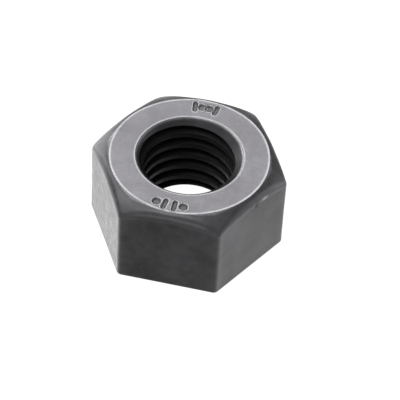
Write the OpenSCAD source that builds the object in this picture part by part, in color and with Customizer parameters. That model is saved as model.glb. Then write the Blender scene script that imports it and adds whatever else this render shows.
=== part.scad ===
// Heavy hex nut with a 5/8 inch coarse thread (11 threads to the inch).
// Millimetres, +Z up. The origin is on the nut's axis, in the plane of the underside.
// Two opposite corners lie on the X axis, so two opposite flats face -Y and +Y.

/* [Body] */
// Width across the flats
across_flats = 26.4; // [26.2:0.1:27]
// Height of the nut
height = 15; // [14.9:0.1:16]
// Radius of the six upright corners
corner_r = 0.9; // [0.5:0.1:1.5]
// Diameter of the flat circle on the chamfered top face
top_circle_d = 24.3; // [23.5:0.1:25]
// Slope of the top chamfer at that circle, from the plane of the face, in degrees
chamfer_slope = 21; // [18:1:24]
// Radius of the chamfer's crown, which steepens it towards the corners
crown_r = 8.2; // [7.5:0.1:8.3]

/* [Thread] */
// Threads to the inch
threads_per_inch = 11; // [10:1:12]
// Major diameter, at the root of the groove
major_d = 15.9; // [15.9:0.05:16.1]
// Minor diameter, at the crest of the thread
minor_d = 13.85; // [13.4:0.05:13.85]
// Diameter of the countersink at each end of the bore
countersink_d = 16.35; // [16.2:0.05:17]
// Height of one crest on the +X side, above the underside
crest_z = 2.33; // [0:0.01:2.5]
// Straight steps that make one turn of the groove
steps_per_turn = 36; // [24:12:48]

/* [Punch marks] */
// Depth of every mark below the top face
mark_depth = 0.25; // [0.1:0.05:0.4]
// Length of a bar mark, along the nut's radius
bar_length = 2; // [1:0.1:2.2]
// Width of a bar mark
bar_width = 0.6; // [0.3:0.05:0.8]
// Diameter of a dot mark at the face
dot_d = 1.2; // [0.8:0.1:1.4]

/* [Hidden] */

eps = 0.05;              // how far a cutter stands clear of the face that it cuts
round_fn = 96;           // smoothness of round surfaces on screen
flats = 6;
sector = 360 / flats;    // the angle from one corner to the next

// Body
flat_dist = across_flats / 2;
corner_dist = flat_dist / cos(sector / 2);
corner_centre = (flat_dist - corner_r) / cos(sector / 2);
top_circle_r = top_circle_d / 2;
crown_x = top_circle_r - crown_r * sin(chamfer_slope);
crown_z = height - crown_r * cos(chamfer_slope);

// Thread: a 60 degree form whose groove narrows to an eighth of the pitch at its root
pitch = 25.4 / threads_per_inch;
flank_angle = 30;
minor_r = minor_d / 2;
major_r = major_d / 2;
countersink_r = countersink_d / 2;
root_half = pitch / 16;
mouth_r = minor_r - 0.3; // the cutter's mouth, clear inside the crest
mouth_half = root_half + (major_r - mouth_r) * tan(flank_angle);
groove_z = crest_z + pitch / 2;
turns_below = ceil((groove_z + pitch) / pitch);
turns_above = ceil((height + pitch - groove_z) / pitch);

// Marks: [kind, angle round the face, distance from the axis], in a group at the back and one at the front
MARKS = [
  ["bar", 98, 10.5], ["dot", 92, 10.5], ["dot", 86, 10.5], ["bar", 80, 10.5],
  ["dot", -104, 10.8], ["bar", -97, 10.8], ["bar", -89, 10.8], ["dot", -82, 10.8],
];
dot_depth_r = (dot_d * dot_d / 4 + mark_depth * mark_depth) / (2 * mark_depth);

// A point on a circle round the axis, at an angle
function on_circle(r, a) = [r * cos(a), r * sin(a)];

// The outline of the body: a hexagon with round corners
module outline() {
  polygon([
    for (i = [0:flats - 1], side = [-1, 1])
      on_circle(corner_centre, i * sector) + on_circle(corner_r, i * sector + side * sector / 2)
  ]);
  for (i = [0:flats - 1])
    translate(on_circle(corner_centre, i * sector)) circle(corner_r, $fn = round_fn);
}

// The turned blank that the hexagon is trimmed to, with a crowned chamfer on top
module turned_blank() {
  rotate_extrude($fn = round_fn) {
    square([top_circle_r, height]);
    square([corner_dist, crown_z]);
    intersection() {
      translate([0, crown_z]) square([corner_dist, crown_r]);
      translate([crown_x, crown_z]) circle(crown_r);
    }
  }
}

module body() {
  intersection() {
    linear_extrude(height) outline();
    turned_blank();
  }
}

// The tapping hole, at the thread's minor diameter
module tapping_hole() {
  translate([0, 0, -1]) cylinder(h = height + 2, r = minor_r, $fn = round_fn);
}

// A 90 degree countersink whose rim lies in the plane z = 0 and which narrows upward
module countersink() {
  depth = countersink_r - minor_r;
  translate([0, 0, -eps])
    cylinder(h = depth + 2 * eps, r1 = countersink_r + eps, r2 = minor_r - eps, $fn = round_fn);
}

// The four corners of the groove's section, at step i along the helix
function groove_section(i) =
  let (a = 360 * i / steps_per_turn, z = groove_z + pitch * i / steps_per_turn)
  [
    for (q = [[mouth_r, -mouth_half], [major_r, -root_half], [major_r, root_half], [mouth_r, mouth_half]])
      [q[0] * cos(a), q[0] * sin(a), z + q[1]]
  ];

// The right-hand helical groove between the crests, run out past both faces
module thread_groove() {
  first = -turns_below * steps_per_turn;
  count = (turns_below + turns_above) * steps_per_turn;
  points = [for (i = [0:count]) each groove_section(first + i)];
  sides = [
    for (i = [0:count - 1], k = [0:3])
      let (a = 4 * i + k, b = 4 * i + (k + 1) % 4)
      each [[a, b, b + 4], [a, b + 4, a + 4]]
  ];
  ends = [[3, 2, 1, 0], [for (k = [0:3]) 4 * count + k]];
  polyhedron(points, concat(sides, ends), convexity = 12);
}

// A bar mark, straight along the radius, centred on the origin
module bar_mark() {
  translate([-bar_length / 2, -bar_width / 2, -mark_depth]) cube([bar_length, bar_width, mark_depth + eps]);
}

// A dot mark: a shallow spherical dimple
module dot_mark() {
  translate([0, 0, dot_depth_r - mark_depth]) sphere(dot_depth_r, $fn = round_fn);
}

module mark(kind) {
  if (kind == "bar") bar_mark();
  if (kind == "dot") dot_mark();
}

module marks() {
  for (m = MARKS)
    rotate(m[1]) translate([m[2], 0, height]) mark(m[0]);
}

// The whole nut, which is one piece of steel
module hex_nut() {
  color([0.36, 0.36, 0.38])
    difference() {
      body();
      tapping_hole();
      countersink();
      translate([0, 0, height]) mirror([0, 0, 1]) countersink();
      thread_groove();
      marks();
    }
}

hex_nut();
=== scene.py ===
"""Looks of a heavy hex nut in blackened steel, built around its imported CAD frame.

The row frame is in metres. Shapes are worked out in millimetres and scaled once, when the mesh is made.
"""

import math

import bpy
import numpy as np
from mathutils import Matrix, Vector, noise


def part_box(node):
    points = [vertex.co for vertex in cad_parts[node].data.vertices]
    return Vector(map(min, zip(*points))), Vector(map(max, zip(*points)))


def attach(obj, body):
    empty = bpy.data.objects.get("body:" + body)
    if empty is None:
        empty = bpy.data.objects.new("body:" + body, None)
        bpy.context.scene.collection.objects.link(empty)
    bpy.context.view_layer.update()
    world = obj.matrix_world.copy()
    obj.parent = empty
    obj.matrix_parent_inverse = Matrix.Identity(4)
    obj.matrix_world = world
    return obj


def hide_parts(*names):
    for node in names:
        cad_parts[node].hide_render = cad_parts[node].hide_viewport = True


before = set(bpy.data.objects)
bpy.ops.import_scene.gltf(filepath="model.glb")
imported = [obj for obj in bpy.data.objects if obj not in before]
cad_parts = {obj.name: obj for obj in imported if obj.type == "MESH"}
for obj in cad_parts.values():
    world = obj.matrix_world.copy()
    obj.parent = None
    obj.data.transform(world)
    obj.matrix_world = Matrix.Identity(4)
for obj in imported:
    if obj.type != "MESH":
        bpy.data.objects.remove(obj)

MM = 0.001
TURN = 2 * math.pi
SIDES = 6
SECTOR = TURN / SIDES
HALF_SECTOR = SECTOR / 2
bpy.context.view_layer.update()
LOW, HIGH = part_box("hex_nut")

# Sizes in millimetres, as in the CAD
HEIGHT = (HIGH[2] - LOW[2]) / MM
FLAT = (HIGH[1] - LOW[1]) / 2 / MM
CORNER_R = 0.9
TOP_CIRCLE_R = 12.15
CROWN_SLOPE = math.radians(21)
CROWN_R = 8.2
PITCH = 25.4 / 11
MINOR_R = 6.925
MAJOR_R = 7.95
SINK_R = 8.175
CREST_Z = 2.33
FLANK = math.radians(30)
MARKS = (
    ("bar", 98, 10.5),
    ("dot", 92, 10.5),
    ("dot", 86, 10.5),
    ("bar", 80, 10.5),
    ("dot", -104, 10.8),
    ("bar", -97, 10.8),
    ("bar", -89, 10.8),
    ("dot", -82, 10.8),
)
MARK_DEPTH = 0.25
BAR_LENGTH = 2.0
BAR_WIDTH = 0.6
DOT_R = 0.6

# Finish of the shape, which the CAD leaves sharp
SHOULDER_R = 1.75  # the forged roll from the chamfer towards a flat, where there is room for it
SHOULDER_END = math.radians(82)  # the roll stops at this slope
SHOULDER_GAP = math.radians(0.5)  # least angle between the rim's arc and the roll
SHOULDER_BLEND = 0.3  # how gently the roll tightens towards the middle of a flat
CREASE_R = 0.2  # a tight crease leads from the roll into the flat
FOOT_R = 0.3  # where a flat meets the underside
RIM_R = 0.35  # where the top face meets the chamfer
RING_GAP = 0.12  # the face's last ring stops this short of the rim, so that no triangle is a sliver
MOUTH_REACH = 0.12  # how far the rounding of a countersink's mouth reaches
CREST_ROUND, ROOT_ROUND = 0.09, 0.12  # over which the thread's edges are rounded
MARK_WALL = 0.2  # width of the slope at a mark's edge
LIP = 0.05  # height of the steel pushed up round a mark
LIP_PLACE, LIP_WIDTH = 0.9 * MARK_WALL, 0.8 * MARK_WALL
TOP_SINK = 0.06  # the face lies this far under the box, so that the lips stay inside it

# Unevenness of the steel
WAVE = 0.05  # depth on the forged sides
WAVES = ((0.16, 3.0, 0.65), (0.5, 11.0, 0.35))  # scale, seed and share of its noise
FACE_WAVE, FACE_WAVE_SCALE, FACE_WAVE_SEED = 0.03, 0.35, 7.0
NOISE_GAIN = 1.4
EDGE_FADE, FOOT_FADE = 0.8, 1.5  # it fades in over these widths from an edge and from the foot
DENTS = (
    # angle, z below the top, spread along the edge and across it, depth, share of bare steel
    (-28.0, 1.5, 0.3, 0.4, 0.12, 0.0),
    (-19.5, 1.5, 0.8, 0.24, 0.06, 1.0),
    (163.0, 1.7, 0.6, 0.4, 0.08, 0.8),
    (47.0, 1.5, 0.4, 0.4, 0.08, 0.0),
)

# How worn to bright steel (partly a painted highlight on the rims, lips and crests), how machined and how
# darkened by painted shade each stretch is, from 0 to 1
CHAMFER_WORN, CHAMFER_TURNED = 0.1, 0.2
CREASE_WORN, CREASE_TURNED = 0.12, 0.1
CORNER_WORN = 0.12
FOOT_WORN = 0.25
UNDER_WORN, UNDER_TURNED = 0.15, 0.6
MOUTH_TURNED = 0.7
BORE_TURNED = 0.4
# the crests' bright edges are partly wear and partly a painted highlight
CREST_WEAR_AND_GLINT, CREST_WEAR_AND_GLINT_MORE = 0.25, 0.6  # all the way up, and what is added towards the top
CROSSING_HIGHLIGHT = 0.7  # where the thread runs out into the upper countersink
# painted shade: the marks' hollows, the countersinks and the bore, darker still in the thread's roots
MARK_SHADE = 0.35
SINK_SHADE = 0.4
BORE_SHADE, ROOT_SHADE = 0.92, 0.08

# Widths over which wear, painted highlights and painted shade fade
CORNER_WEAR = math.radians(3.2)
RIM_WEAR, MOUTH_WEAR = 0.1, 0.12
# the crests' edges are partly worn and partly a painted highlight, which grows towards the top
CREST_EDGE, CREST_WEAR = 0.42, 0.05  # where a crest's worn edge is, from its middle, and its width
CREST_DEPTH = 0.12  # what lies deeper than this isn't crest
WEAR_START, WEAR_RISE = 5, 3  # crests wear more from this far below the top, and fully after this rise
SINK_FADE = 0.1

# Mesh density
BORE_COLUMNS = 360
HALF_THREAD = (0.0, 0.2, 0.33, 0.385, 0.42, 0.46, 0.55, 0.68, 0.81, 0.92, 1.0)  # rows from a crest's middle
ROW_GAP = 0.03  # least height between the thread's rows and the mouths
MARKS_FROM_R = 9.3  # the top face's rings are close together outside this radius
PLAIN_GAP, MARKED_GAP = 1.1, 0.33
TOP_SPANS = (
    # start, end and gap of the points round the top face, in degrees
    (-76, 76, PLAIN_GAP),
    (76, 102, MARKED_GAP),
    (102, 250, PLAIN_GAP),
    (250, 284, MARKED_GAP),
)
CORNER_SPAN = 2.6  # degrees on each side of a corner where points are close together


def smooth_max(a, b, k):
    """The larger of a and b, rounded over k where they meet."""
    h = np.clip(0.5 + (a - b) / (2 * k), 0, 1)
    return b + (a - b) * h + k * h * (1 - h)


def smooth_min(a, b, k):
    """The smaller of a and b, rounded over k where they meet."""
    return -smooth_max(-a, -b, k)


def step(x):
    """A smooth step from 0 to 1."""
    x = np.clip(x, 0, 1)
    return x * x * (3 - 2 * x)


def bell(x, width):
    """A smooth hump, 1 at 0."""
    return np.exp(-((x / width) ** 2))


# ---------------------------------------------------------------- outline and profile


def from_corner(a):
    """The signed angle from the nearest corner of the hexagon."""
    return (a + HALF_SECTOR) % SECTOR - HALF_SECTOR


def hex_radius(a):
    """How far the rounded hexagon is from the axis at angle a."""
    d = np.abs(from_corner(a))
    centre = (FLAT - CORNER_R) / math.cos(HALF_SECTOR)
    tangent = HALF_SECTOR - math.atan2((FLAT - CORNER_R) * math.tan(HALF_SECTOR), FLAT)
    flat = FLAT / np.cos(HALF_SECTOR - d)
    inside = np.maximum(CORNER_R**2 - (centre * np.sin(d)) ** 2, 0)
    return np.where(d < tangent, centre * np.cos(d) + np.sqrt(inside), flat)


def outer_angles():
    """Angles round the outside, close together at the corners."""
    near = np.linspace(-CORNER_SPAN, CORNER_SPAN, 21)
    far = np.linspace(CORNER_SPAN, 360 / SIDES - CORNER_SPAN, 61)[1:-1]
    one = np.radians(np.concatenate([near, far]))
    return np.sort(np.concatenate([one + i * TURN / SIDES for i in range(SIDES)]) % TURN)


def top_angles():
    """Angles round the top face, close together under the marks."""
    parts = []
    for start, end, gap in TOP_SPANS:
        parts.append(np.linspace(start, end, round((end - start) / gap), endpoint=False))
    return np.sort(np.radians(np.concatenate(parts)) % TURN)


def thread_radius(u):
    """The thread's radius at u along the axis from the middle of a crest."""
    half_crest = PITCH / 2 - PITCH / 16 - (MAJOR_R - MINOR_R) * math.tan(FLANK)
    flank = MINOR_R + (np.abs(u) - half_crest) / math.tan(FLANK)
    return smooth_min(smooth_max(flank, MINOR_R, CREST_ROUND), MAJOR_R, ROOT_ROUND)


# ---------------------------------------------------------------- the mesh under construction


class Skin:
    """Rings of points joined into one closed surface. Each point holds its wear (partly a painted highlight),
    how machined it is and its painted shade.
    """

    def __init__(self):
        self.points, self.worn, self.turned, self.deep = [], [], [], []
        self.count = 0
        self.faces = []

    def add(self, points, worn=0.0, turned=0.0, deep=0.0):
        """Adds points and returns their numbers."""
        n = len(points)
        self.points.append(np.asarray(points, float))
        for store, value in ((self.worn, worn), (self.turned, turned), (self.deep, deep)):
            store.append(np.broadcast_to(np.asarray(value, float), (n,)))
        self.count += n
        return np.arange(self.count - n, self.count)

    def ring(self, angles, r, z, **more):
        """Adds a point at each angle, at radius r and height z, which may be one value or one for each."""
        r = np.broadcast_to(r, angles.shape)
        z = np.broadcast_to(z, angles.shape)
        return self.add(np.stack([r * np.cos(angles), r * np.sin(angles), z], 1), **more)

    def band(self, a, b):
        """Joins two rings that have a point at each of the same angles."""
        a2, b2 = np.roll(a, -1), np.roll(b, -1)
        self.faces.extend(np.stack([a, b, b2, a2], 1).tolist())

    def bands(self, rings):
        """Joins each ring to the next."""
        for a, b in zip(rings, rings[1:]):
            self.band(a, b)

    def zipper(self, a, angles_a, b, angles_b):
        """Joins two rings whose angles differ, with triangles."""
        i = j = 0
        na, nb = len(a), len(b)
        next_a = np.append(angles_a[1:], angles_a[0] + TURN)
        next_b = np.append(angles_b[1:], angles_b[0] + TURN)
        while i < na or j < nb:
            ai, bj = a[i % na], b[j % nb]
            if j >= nb or (i < na and next_a[i] <= next_b[j]):
                self.faces.append([ai, bj, a[(i + 1) % na]])
                i += 1
            else:
                self.faces.append([ai, bj, b[(j + 1) % nb]])
                j += 1


# ---------------------------------------------------------------- parts of the surface


def mark_shape(x, y):
    """(height, wear that is partly a painted highlight on the lips, painted shade in the hollows) that the
    marks give the top face at x, y.
    """
    height = np.zeros_like(x)
    wear_and_glint = np.zeros_like(x)
    deep = np.zeros_like(x)
    for kind, angle, r in MARKS:
        a = math.radians(angle)
        u = x * math.cos(a) + y * math.sin(a) - r
        v = -x * math.sin(a) + y * math.cos(a)
        if kind == "bar":
            qu = np.maximum(np.abs(u) - BAR_LENGTH / 2 + BAR_WIDTH / 2, 0)
            d = np.hypot(qu, v) - BAR_WIDTH / 2
        else:
            d = np.hypot(u, v) - DOT_R
        inside = step(0.5 - d / MARK_WALL)
        lip = bell(d - LIP_PLACE, LIP_WIDTH)
        height += LIP * lip * (1 - inside) - MARK_DEPTH * inside
        # the lips are partly worn and partly a painted highlight; the hollows get painted shade
        wear_and_glint = np.maximum(wear_and_glint, lip)
        deep = np.maximum(deep, MARK_SHADE * inside)
    return height, wear_and_glint, deep


def uneven(points, scale, seed):
    """Smooth noise from 0 to 1 at each point."""
    offset = Vector((seed, seed * 2.7, seed * 5.1))
    values = [noise.noise(Vector(p) * scale + offset) for p in points]
    return 0.5 + 0.5 * np.clip(np.array(values) * NOISE_GAIN, -1, 1)


def top_face(skin, angles):
    """The turned face, from the countersink's mouth to where the chamfer starts."""
    inner = SINK_R + MOUTH_REACH
    outer = TOP_CIRCLE_R - RIM_R * math.tan(CROWN_SLOPE / 2) - RING_GAP
    plain = np.linspace(inner, MARKS_FROM_R, 7)[:-1]
    marked = np.linspace(MARKS_FROM_R, outer, 25)
    rings = []
    for r in np.concatenate([plain, marked]):
        x, y = r * np.cos(angles), r * np.sin(angles)
        height, wear_and_glint, deep = mark_shape(x, y)
        # wear along the rim and the countersink's mouth, partly a painted highlight
        edge = np.maximum(bell(r - outer, RIM_WEAR), bell(r - inner, MOUTH_WEAR))
        wear_and_glint = np.maximum(wear_and_glint, edge)
        rings.append(skin.ring(angles, r, HEIGHT - TOP_SINK + height, worn=wear_and_glint, turned=1.0, deep=deep))
    skin.bands(rings)
    return rings[0], rings[-1]


def arc(centre_r, centre_z, radius, start, end, n):
    """n points of an arc. Angles are measured from +Z towards the outside."""
    points = []
    for t in np.linspace(0, 1, n):
        a = start + (end - start) * t
        points.append((centre_r + radius * np.sin(a), centre_z + radius * np.cos(a)))
    return points


def outside(skin, angles):
    """Chamfer, forged shoulder, flats and foot. Returns the first and the last ring."""
    reach = hex_radius(angles)
    top = HEIGHT - TOP_SINK
    crown_x = TOP_CIRCLE_R - CROWN_R * math.sin(CROWN_SLOPE)
    crown_z = top - CROWN_R * math.cos(CROWN_SLOPE)
    # the rim's small arc, tangent to the face and to the crown
    rim_x = crown_x + np.sqrt((CROWN_R - RIM_R) ** 2 - (top - RIM_R - crown_z) ** 2)
    rim_end = math.atan2(rim_x - crown_x, top - RIM_R - crown_z)
    # the shoulder's arc, tangent to the crown, and the crease's, tangent to the shoulder and the flat;
    # the shoulder is tighter in the middle of a flat, so that it starts outside the rim
    first, last = math.sin(rim_end + SHOULDER_GAP), math.sin(SHOULDER_END)
    room = reach - CREASE_R * (1 - last) - crown_x - CROWN_R * first
    shoulder_r = smooth_min(room / (last - first), SHOULDER_R, SHOULDER_BLEND)
    shoulder_x = reach - CREASE_R - (shoulder_r - CREASE_R) * last
    shoulder_z = crown_z + np.sqrt((CROWN_R - shoulder_r) ** 2 - (shoulder_x - crown_x) ** 2)
    shoulder_start = np.arctan2(shoulder_x - crown_x, shoulder_z - crown_z)
    crown_start = np.full_like(angles, rim_end)
    crease_x = reach - CREASE_R
    crease_z = shoulder_z + (shoulder_r - CREASE_R) * math.cos(SHOULDER_END)

    rim = arc(rim_x, top - RIM_R, RIM_R, 0, rim_end, 4)
    crown = arc(crown_x, crown_z, CROWN_R, crown_start, shoulder_start, 6)
    shoulder = arc(shoulder_x, shoulder_z, shoulder_r, shoulder_start, SHOULDER_END, 9)
    crease = arc(crease_x, crease_z, CREASE_R, SHOULDER_END, math.pi / 2, 4)
    flat = [(reach, crease_z + (FOOT_R - crease_z) * t) for t in np.linspace(0, 1, 34)]
    foot = arc(reach - FOOT_R, FOOT_R, FOOT_R, math.pi / 2, math.pi, 5)
    stretches = (
        # points, how worn (at the rim partly a painted highlight), how machined
        (rim, 1.0, 1.0),
        (crown[1:], CHAMFER_WORN, CHAMFER_TURNED),
        (shoulder[1:], CHAMFER_WORN, CHAMFER_TURNED),
        (crease[1:], CREASE_WORN, CREASE_TURNED),
        (flat[1:], 0.0, 0.0),
        (foot[1:], FOOT_WORN, 0.0),
    )
    corner = bell(from_corner(angles), CORNER_WEAR)
    rings = []
    for points, worn, turned in stretches:
        wear_and_glint = np.maximum(worn, corner * CORNER_WORN)
        for r, z in points:
            rings.append(skin.ring(angles, r, z, worn=wear_and_glint, turned=turned))
    skin.bands(rings)
    return rings[0], rings[-1]


def underside(skin, angles, rim):
    """The bearing face, from the foot's ring in to the countersink's mouth."""
    inner = SINK_R + MOUTH_REACH
    reach = hex_radius(angles) - FOOT_R
    last = rim
    for t in (0.2, 0.45, 0.7, 0.9, 1.0):
        r = reach + (inner - reach) * t
        ring = skin.ring(angles, r, 0.0, worn=UNDER_WORN, turned=UNDER_TURNED)
        skin.band(last, ring)
        last = ring
    return last


def bore(skin, angles):
    """The threaded bore between its two mouths. Its rows follow the helix, so crests and roots stay crisp."""
    half = np.array(HALF_THREAD)
    template = np.concatenate([-half[:0:-1], half, [PITCH / 2]])
    rows = len(template)
    low, high = MOUTH_REACH, HEIGHT - TOP_SINK - MOUTH_REACH
    first = math.floor(-CREST_Z / PITCH) - 2
    last = math.ceil((HEIGHT - CREST_Z) / PITCH) + 1
    turns = np.arange(first, last + 1)
    base = (turns[:, None] * PITCH + template[None, :]).reshape(-1)
    z = CREST_Z + base[:, None] + PITCH * angles[None, :] / TURN
    u = np.tile(template, len(turns))[:, None] + np.zeros_like(z)

    def sink(z):
        """The radius of the nearer countersink at z."""
        return np.maximum(SINK_R - (HEIGHT - TOP_SINK - z), SINK_R - z)

    def thread(z):
        """The thread's radius at z in each column."""
        turn = (z - CREST_Z) / PITCH - angles[None, :] / TURN
        return thread_radius((turn - np.round(turn)) * PITCH)

    # the row nearest to where thread and countersink cross moves onto the crossing
    gap = thread(z) - sink(z)
    for i in range(len(z) - 1):
        cross = gap[i] * gap[i + 1] < 0
        share = np.where(cross, gap[i] / np.where(cross, gap[i] - gap[i + 1], 1), 0)
        place = z[i] + share * (z[i + 1] - z[i])
        for row, moved in ((i + 1, cross & (share > 0.5)), (i, cross & (share <= 0.5))):
            z[row] = np.where(moved, place, z[row])
            gap[row] = np.where(moved, 0, gap[row])
    r = np.maximum(thread(z), sink(z))
    # the crests' edges: partly wear, partly a painted highlight that grows towards the top
    share = CREST_WEAR_AND_GLINT + CREST_WEAR_AND_GLINT_MORE * step((z - HEIGHT + WEAR_START) / WEAR_RISE)
    crest = share * bell(np.abs(u) - CREST_EDGE, CREST_WEAR) * (r < MINOR_R + CREST_DEPTH)
    groove = step((thread(z) - MINOR_R) / (MAJOR_R - MINOR_R))
    inside = step((r - sink(z)) / SINK_FADE)
    # a painted highlight along the crossing of thread and countersink
    crossing = CROSSING_HIGHLIGHT * (gap == 0) * (z > HEIGHT / 2)
    # the mouth's edge: partly wear, partly a painted highlight
    rim = bell(r - SINK_R + MOUTH_REACH, MOUTH_WEAR)
    worn = np.maximum(np.maximum(crest * inside, crossing), rim)
    # painted shade: dark in the bore, darker in the roots, less in the countersinks
    deep = inside * (BORE_SHADE + ROOT_SHADE * groove) + (1 - inside) * SINK_SHADE

    a = np.broadcast_to(angles[None, :], z.shape)
    grid = np.full(z.shape, -1)
    kept = (z > low + ROW_GAP) & (z < high - ROW_GAP)
    points = np.stack([r * np.cos(a), r * np.sin(a), z], 2)[kept]
    grid[kept] = skin.add(points, worn=worn[kept], turned=BORE_TURNED, deep=deep[kept])
    # the mouths' rings: full wear, partly a painted highlight
    bottom = skin.ring(angles, SINK_R - low, low, worn=1.0, turned=MOUTH_TURNED)
    top = skin.ring(angles, SINK_R - MOUTH_REACH, high, worn=1.0, turned=MOUTH_TURNED)
    grid = np.where(z <= low + ROW_GAP, bottom[None, :], grid)
    grid = np.where(z >= high - ROW_GAP, top[None, :], grid)
    # the row above the last column's is the next turn's row of the first column
    past = np.vstack([grid[rows:, :1], np.broadcast_to(top[:1], (rows, 1))])
    wide = np.hstack([grid, past])
    quads = np.stack([wide[:-1, :-1], wide[1:, :-1], wide[1:, 1:], wide[:-1, 1:]], 2).reshape(-1, 4)
    for quad in quads.tolist():
        face = [v for k, v in enumerate(quad) if v != quad[k - 1]]
        if len(set(face)) > 2:
            skin.faces.append(face)
    return bottom, top


def mouth(skin, angles, from_ring, z_face, up):
    """The small arc from the bore's last ring out to the face. Returns its last ring."""
    last = from_ring
    radius = MOUTH_REACH / math.tan(math.pi / 8)
    for t in (0.33, 0.67):
        a = math.pi / 4 * (1 - t)
        r = SINK_R + MOUTH_REACH - radius * math.sin(a)
        z = z_face - up * radius * (1 - math.cos(a))
        # full wear on the mouth's arc, partly a painted highlight
        ring = skin.ring(angles, r, z, worn=1.0, turned=MOUTH_TURNED)
        if up > 0:
            skin.band(last, ring)
        else:
            skin.band(ring, last)
        last = ring
    return last


def dent(points):
    """(depth, dark share, bare share) of the knocks that the outside has taken."""
    depth = np.zeros(len(points))
    dark = np.zeros(len(points))
    bare = np.zeros(len(points))
    for angle, drop, length, width, deepest, steel in DENTS:
        a = math.radians(angle)
        r = float(hex_radius(np.array([a % TURN]))[0])
        along = np.array([-math.sin(a), math.cos(a), 0])
        d = points - np.array([r * math.cos(a), r * math.sin(a), HEIGHT - drop])
        t = d @ along
        rest = np.linalg.norm(d - t[:, None] * along, axis=1)
        bowl = bell(t, length) * bell(rest, width)
        depth = np.maximum(depth, deepest * bowl)
        dark = np.maximum(dark, bowl * (1 - steel))
        bare = np.maximum(bare, bowl * steel)
    return depth, dark, bare


def build_skin():
    """The whole surface, closed, in millimetres."""
    skin = Skin()
    bore_angles = np.arange(BORE_COLUMNS) * TURN / BORE_COLUMNS
    face_angles, side_angles = top_angles(), outer_angles()
    bottom, top = bore(skin, bore_angles)
    rim = mouth(skin, bore_angles, top, HEIGHT - TOP_SINK, 1)
    inner, outer = top_face(skin, face_angles)
    skin.zipper(rim, bore_angles, inner, face_angles)
    first, last = outside(skin, side_angles)
    skin.zipper(outer, face_angles, first, side_angles)
    under = underside(skin, side_angles, last)
    low_rim = mouth(skin, bore_angles, bottom, 0.0, -1)
    skin.zipper(under, side_angles, low_rim, bore_angles)
    return skin


def roughen(points):
    """Moves the points as forging and knocks did. Returns the shares of bare steel and of dark pits."""
    reach = np.hypot(points[:, 0], points[:, 1])
    out = np.stack([points[:, 0] / reach, points[:, 1] / reach, np.zeros(len(points))], 1)
    forged = step((reach - TOP_CIRCLE_R) / EDGE_FADE) * step(points[:, 2] / FOOT_FADE)
    wave = sum(uneven(points, scale, seed) * share for scale, seed, share in WAVES)
    knock, dark, bare = dent(points)
    points -= out * (forged * (WAVE * wave) + forged * knock)[:, None]
    face = step((reach - SINK_R) / EDGE_FADE) * step((TOP_CIRCLE_R + EDGE_FADE - reach) / EDGE_FADE)
    face = face * (points[:, 2] > HEIGHT / 2)
    points[:, 2] -= FACE_WAVE * face * uneven(points, FACE_WAVE_SCALE, FACE_WAVE_SEED)
    points[:, 2] = np.clip(points[:, 2], 0, HEIGHT)
    return bare * forged, dark * forged


def build_nut():
    """One closed mesh of the whole nut, in the row frame."""
    skin = build_skin()
    points = np.concatenate(skin.points)
    worn, turned, deep = (np.concatenate(v) for v in (skin.worn, skin.turned, skin.deep))
    bare, knocked = roughen(points)
    worn = np.maximum(worn, bare)

    mesh = bpy.data.meshes.new("hex_nut_steel")
    mesh.from_pydata((points * MM).tolist(), [], skin.faces)
    mesh.validate()
    mesh.polygons.foreach_set("use_smooth", [True] * len(mesh.polygons))
    for name, values in (("worn", worn), ("turned", turned), ("deep", deep), ("knocked", knocked)):
        layer = mesh.attributes.new(name, "FLOAT", "POINT")
        layer.data.foreach_set("value", values.astype(np.float32))
    mesh.update()
    nut = bpy.data.objects.new("hex_nut_steel", mesh)
    bpy.context.collection.objects.link(nut)
    return nut


# ---------------------------------------------------------------- materials

# colours where the finish is thick and where it is thin
OXIDE = ((0.100, 0.099, 0.103, 1), (0.158, 0.156, 0.164, 1))
TURNED_OXIDE = ((0.235, 0.228, 0.246, 1), (0.300, 0.293, 0.316, 1))
# steel where worn, also used as a painted highlight on the rims, lips and crests
STEEL_AND_HIGHLIGHT = (0.60, 0.59, 0.61, 1)
# painted shade for the bore, the countersinks and the marks' hollows
SHADE_COLOUR = (0.012, 0.012, 0.013, 1)
PIT = (0.03, 0.03, 0.031, 1)
# noises: scale in a metre, detail, roughness and distortion
CLOUD = (180.0, 5.0, 0.55, 0.0)
MOTTLE = (700.0, 4.0, 0.6, 0.0)
GRAIN = (2600.0, 3.0, 0.65, 0.0)
SCUFF = (420.0, 6.0, 0.7, 0.6)
WEAR_AND_HIGHLIGHT_STRENGTH, PIT_STRENGTH = 0.85, 0.8
METALLIC, SPECULAR = 0.75, 0.5
ROUGH_LOW, ROUGH_HIGH = 0.24, 0.42
WEAR_POLISH, DEEP_DULLNESS = 0.1, 0.15  # taken from the roughness and added to it
RELIEF_FORGED, RELIEF_TURNED = 0.22, 0.08
RELIEF_HEIGHT = 0.00006  # metres
MIX_A, MIX_B, MIX_RESULT = 6, 7, 2  # the colour sockets of a Mix node
WHITE = (1, 1, 1, 1)
FLOOR_GREY = (0.3, 0.3, 0.3, 1)
FLOOR_GLOW = 0.98


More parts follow.
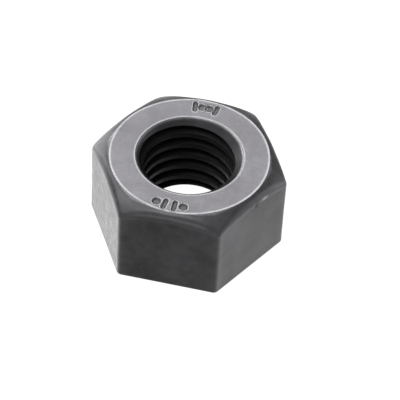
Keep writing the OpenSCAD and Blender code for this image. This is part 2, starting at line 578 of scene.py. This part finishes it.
class Nodes:
    """A short way to write a node tree."""

    def __init__(self, tree):
        self.tree = tree
        tree.nodes.clear()

    def new(self, kind, inputs=None, **settings):
        """Adds a node. Each input is another node's output, or a plain value."""
        node = self.tree.nodes.new(kind)
        for key, value in settings.items():
            setattr(node, key, value)
        for key, value in (inputs or {}).items():
            socket = node.inputs[key]
            if isinstance(value, bpy.types.NodeSocket):
                self.tree.links.new(value, socket)
            else:
                socket.default_value = value
        return node

    def math(self, operation, a, b=0.0, clamp=False):
        return self.new("ShaderNodeMath", {0: a, 1: b}, operation=operation, use_clamp=clamp).outputs[0]

    def attribute(self, name):
        return self.new("ShaderNodeAttribute", attribute_name=name, attribute_type="GEOMETRY").outputs["Fac"]

    def noise(self, where, scale, detail, roughness, distortion):
        inputs = {
            "Vector": where,
            "Scale": scale,
            "Detail": detail,
            "Roughness": roughness,
            "Distortion": distortion,
        }
        return self.new("ShaderNodeTexNoise", inputs).outputs["Fac"]

    def spread(self, value, low, high, to_low=0.0, to_high=1.0):
        inputs = {"Value": value, "From Min": low, "From Max": high, "To Min": to_low, "To Max": to_high}
        return self.new("ShaderNodeMapRange", inputs, clamp=True).outputs["Result"]

    def blend(self, factor, a, b):
        inputs = {"Factor": factor, MIX_A: a, MIX_B: b}
        return self.new("ShaderNodeMix", inputs, data_type="RGBA").outputs[MIX_RESULT]


def blackened_steel():
    """Dark oxide with a fine grain, thinner on the turned face and worn to steel along the edges. The pale
    steel is partly a painted highlight on the rims, the marks' lips and the thread's crests. Painted shade
    darkens the bore, the countersinks and the marks' hollows and takes away their specular.
    """
    material = bpy.data.materials.new("blackened_steel")
    material.use_nodes = True
    n = Nodes(material.node_tree)
    where = n.new("ShaderNodeTexCoord").outputs["Object"]
    worn, turned = n.attribute("worn"), n.attribute("turned")
    deep, knocked = n.attribute("deep"), n.attribute("knocked")

    cloud = n.noise(where, *CLOUD)
    mottle = n.noise(where, *MOTTLE)
    grain = n.noise(where, *GRAIN)
    scuff = n.noise(where, *SCUFF)

    patch = n.spread(n.math("ADD", cloud, n.math("MULTIPLY", mottle, 0.5)), 0.55, 0.95)
    oxide = n.blend(patch, *OXIDE)
    face = n.blend(patch, *TURNED_OXIDE)
    base = n.blend(turned, oxide, face)
    # wear to bare steel, partly a painted highlight on the rims, lips and crests
    wear_and_highlight_here = n.math("MULTIPLY", worn, n.spread(scuff, 0.32, 0.62, 0.7, 1.0))
    base = n.blend(n.math("MULTIPLY", wear_and_highlight_here, WEAR_AND_HIGHLIGHT_STRENGTH, True), base, STEEL_AND_HIGHLIGHT)
    # painted shade in the bore, the countersinks and the marks' hollows
    base = n.blend(deep, base, SHADE_COLOUR)
    base = n.blend(n.math("MULTIPLY", knocked, PIT_STRENGTH, True), base, PIT)

    speckle = n.math("ADD", mottle, n.math("MULTIPLY", grain, 0.4))
    rough = n.spread(speckle, 0.45, 0.95, ROUGH_LOW, ROUGH_HIGH)
    rough = n.math("SUBTRACT", rough, n.math("MULTIPLY", wear_and_highlight_here, WEAR_POLISH))
    rough = n.math("ADD", rough, n.math("MULTIPLY", deep, DEEP_DULLNESS), True)

    relief = n.math("ADD", n.math("MULTIPLY", mottle, 0.6), n.math("MULTIPLY", grain, 0.4))
    strength = n.spread(turned, 0.0, 1.0, RELIEF_FORGED, RELIEF_TURNED)
    inputs = {"Strength": strength, "Distance": RELIEF_HEIGHT, "Height": relief}
    bump = n.new("ShaderNodeBump", inputs)
    shader = n.new(
        "ShaderNodeBsdfPrincipled",
        {
            "Base Color": base,
            "Roughness": rough,
            "Metallic": METALLIC,
            # painted shade also takes the specular away
            "Specular IOR Level": n.spread(deep, 0.0, 1.0, SPECULAR, 0.0),
            "Normal": bump.outputs["Normal"],
        },
    )
    n.new("ShaderNodeOutputMaterial", {"Surface": shader.outputs[0]})
    return material


def floor_white():
    """A plain white that mostly shines by itself, so that it stays as pale as the photo's background."""
    material = bpy.data.materials.new("floor_white")
    material.use_nodes = True
    n = Nodes(material.node_tree)
    shader = n.new(
        "ShaderNodeBsdfPrincipled",
        {
            "Base Color": FLOOR_GREY,
            "Roughness": 1.0,
            "Specular IOR Level": 0.0,
            "Emission Color": WHITE,
            "Emission Strength": FLOOR_GLOW,
        },
    )
    n.new("ShaderNodeOutputMaterial", {"Surface": shader.outputs[0]})
    return material


# ---------------------------------------------------------------- stage, light and camera

MIDDLE = Vector((0, 0, HEIGHT * MM / 2))
FLOOR_RADIUS = 1.0
WALL_HEIGHT = 1.0
STAGE_SIDES = 96
# name, azimuth, elevation, distance, side, watts. Azimuth 0 is the front and 90 the right, in degrees.
LIGHTS = (
    ("left", -100, 42, 0.7, 0.4, 0.34),
    ("back", 190, 48, 0.7, 0.4, 0.79),
    ("right", 100, 12, 0.7, 0.4, 0.15),
    ("top", -35, 74, 0.7, 0.3, 0.34),
    ("front", -7, 16, 0.7, 0.3, 0.17),
    ("left_card", -125, 8, 0.12, 0.08, 0.0306),
    ("right_card", 115, 8, 0.12, 0.08, 0.0072),
)
# what the nut mirrors: an even part, and lobes of azimuth, elevation, strength
TABLE_EVEN, TABLE_LOBES = 0.32, ((-130, -45, 1.84), (110, -45, 0.79))
STUDIO_EVEN, STUDIO_LOBES = 0.216, ((-60, 60, 0.433), (-10, 40, -0.06))
LOBE_POWER = 4.0
HORIZON = 0.02  # half the height over which the two halves blend
# The photograph's view. The angles are in degrees, the lens and the sensor in millimetres, and the rest
# in metres: the camera stands this far away, and this far to the right and down from the nut's middle.
VIEW_AZIMUTH, VIEW_ELEVATION, VIEW_ROLL = 10.22, 46.64, 3.455
LENS, SENSOR = 202.1, 36.0
VIEW_DISTANCE = 0.3432
VIEW_RIGHT, VIEW_DOWN = 1.888 * MM, 1.661 * MM
CLIP_START, CLIP_END = 0.01, 20


def stage_mesh(name, points, faces, material):
    """A piece of the stage. The camera sees it, but the nut isn't lit or mirrored by it."""
    mesh = bpy.data.meshes.new(name)
    mesh.from_pydata(points, [], faces)
    mesh.materials.append(material)
    piece = bpy.data.objects.new(name, mesh)
    bpy.context.collection.objects.link(piece)
    piece.visible_diffuse = False
    piece.visible_glossy = False
    piece.visible_shadow = False


def make_stage():
    """A round pale floor with a pale wall round it."""
    material = floor_white()
    steps = range(STAGE_SIDES)
    ring = [(math.cos(TURN * i / STAGE_SIDES), math.sin(TURN * i / STAGE_SIDES)) for i in steps]
    low = [(FLOOR_RADIUS * x, FLOOR_RADIUS * y, LOW[2]) for x, y in ring]
    high = [(FLOOR_RADIUS * x, FLOOR_RADIUS * y, WALL_HEIGHT) for x, y in ring]
    stage_mesh("floor", low, [list(steps)], material)
    walls = [(i, i + STAGE_SIDES, (i + 1) % STAGE_SIDES + STAGE_SIDES, (i + 1) % STAGE_SIDES) for i in steps]
    stage_mesh("backdrop", low + high, walls, material)


def towards(azimuth, elevation):
    """The unit vector from the nut towards an azimuth and an elevation in degrees."""
    a, e = math.radians(azimuth), math.radians(elevation)
    return Vector((math.sin(a) * math.cos(e), -math.cos(a) * math.cos(e), math.sin(e)))


def make_light(name, azimuth, elevation, distance, side, watts):
    """A square soft box that points at the nut."""
    way = towards(azimuth, elevation)
    data = bpy.data.lights.new(name, "AREA")
    data.shape, data.size, data.energy = "SQUARE", side, watts
    light = bpy.data.objects.new(name, data)
    light.location = MIDDLE + way * distance
    light.rotation_mode = "QUATERNION"
    light.rotation_quaternion = way.to_track_quat("Z", "Y")
    light.visible_camera = False
    bpy.context.collection.objects.link(light)


def glow(n, direction, even, lobes):
    """The world's strength on one half."""
    total = even
    for azimuth, elevation, strength in lobes:
        inputs = {0: direction, 1: towards(azimuth, elevation)}
        dot = n.new("ShaderNodeVectorMath", inputs, operation="DOT_PRODUCT").outputs["Value"]
        part = n.math("POWER", n.math("MAXIMUM", dot, 0.0), LOBE_POWER)
        total = n.math("ADD", n.math("MULTIPLY", part, strength), total)
    return total


def make_world():
    """What the nut mirrors: a lit table below the horizon and a dim studio above it."""
    world = bpy.data.worlds.new("studio")
    world.use_nodes = True
    n = Nodes(world.node_tree)
    direction = n.new("ShaderNodeTexCoord").outputs["Generated"]
    height = n.new("ShaderNodeSeparateXYZ", {0: direction}).outputs["Z"]
    above = n.spread(height, -HORIZON, HORIZON)
    below = n.math("SUBTRACT", 1.0, above)
    table = n.math("MULTIPLY", glow(n, direction, TABLE_EVEN, TABLE_LOBES), below)
    studio = n.math("MULTIPLY", glow(n, direction, STUDIO_EVEN, STUDIO_LOBES), above)
    sky = n.new("ShaderNodeBackground", {"Strength": n.math("ADD", table, studio)})
    n.new("ShaderNodeOutputWorld", {"Surface": sky.outputs[0]})
    bpy.context.scene.world = world


def make_camera():
    """The photograph's angle: a long lens, well above the nut and a little to its right."""
    azimuth, roll = math.radians(VIEW_AZIMUTH), math.radians(VIEW_ROLL)
    back = towards(VIEW_AZIMUTH, VIEW_ELEVATION)
    level = Vector((math.cos(azimuth), math.sin(azimuth), 0))
    upright = back.cross(level)
    right = math.cos(roll) * level + math.sin(roll) * upright
    up = -math.sin(roll) * level + math.cos(roll) * upright
    data = bpy.data.cameras.new("camera")
    data.sensor_width, data.lens = SENSOR, LENS
    data.clip_start, data.clip_end = CLIP_START, CLIP_END
    camera = bpy.data.objects.new("camera", data)
    place = MIDDLE + VIEW_DISTANCE * back + VIEW_RIGHT * right - VIEW_DOWN * up
    turn = Matrix((right, up, back)).transposed().to_4x4()
    camera.matrix_world = Matrix.Translation(place) @ turn
    bpy.context.collection.objects.link(camera)
    bpy.context.scene.camera = camera


# ---------------------------------------------------------------- the scene

nut = build_nut()
nut.data.materials.append(blackened_steel())
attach(nut, "root")
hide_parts("hex_nut")

make_stage()
for entry in LIGHTS:
    make_light(*entry)
make_world()
make_camera()
bpy.context.scene.view_settings.view_transform = "Standard"
